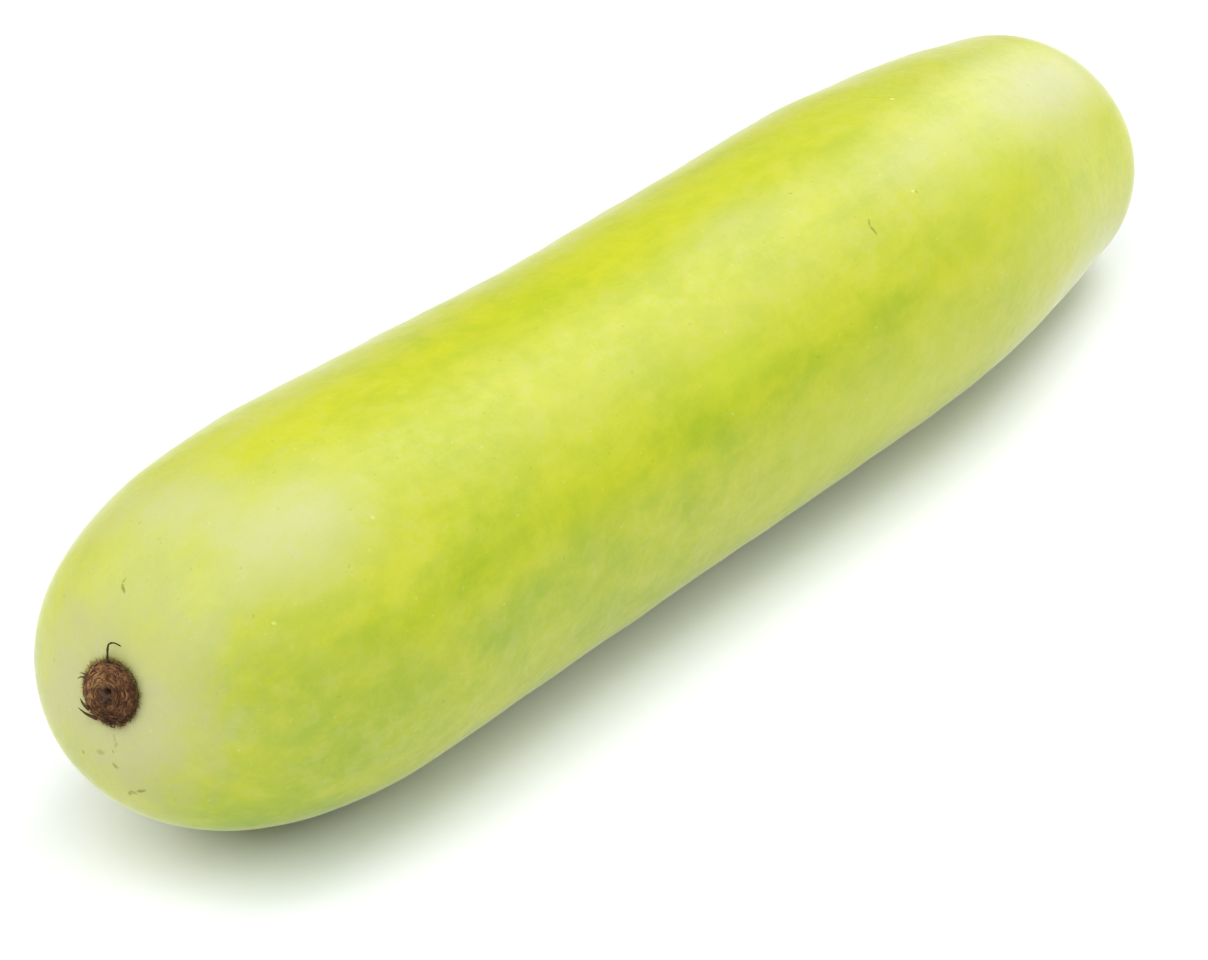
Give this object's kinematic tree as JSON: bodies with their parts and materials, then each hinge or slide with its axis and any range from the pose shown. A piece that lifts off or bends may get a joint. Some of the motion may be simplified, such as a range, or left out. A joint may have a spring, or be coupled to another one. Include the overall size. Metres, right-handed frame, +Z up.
{
  "type": "bottle gourd",
  "caption": "Long bottle gourd resting on its side, with the dried flower scar on its broad end and a short cut stalk on the narrow end.",
  "frame": {"origin": "on the floor, under the middle of the whole gourd as it lies", "axes": "+X along the fruit from the blossom end to the stem end, +Z up"},
  "size_m": [0.3596, 0.0822, 0.0756],
  "materials": {
    "skin": "satin",
    "dry_scar": "matte",
    "dry_thread": "matte",
    "stalk": "matte"
  },
  "bodies": {
    "root": {"fruit": "skin", "blossom_scar": "dry_scar", "dry_filament": "dry_thread", "stem_stub": "stalk"}
  },
  "joints": []
}
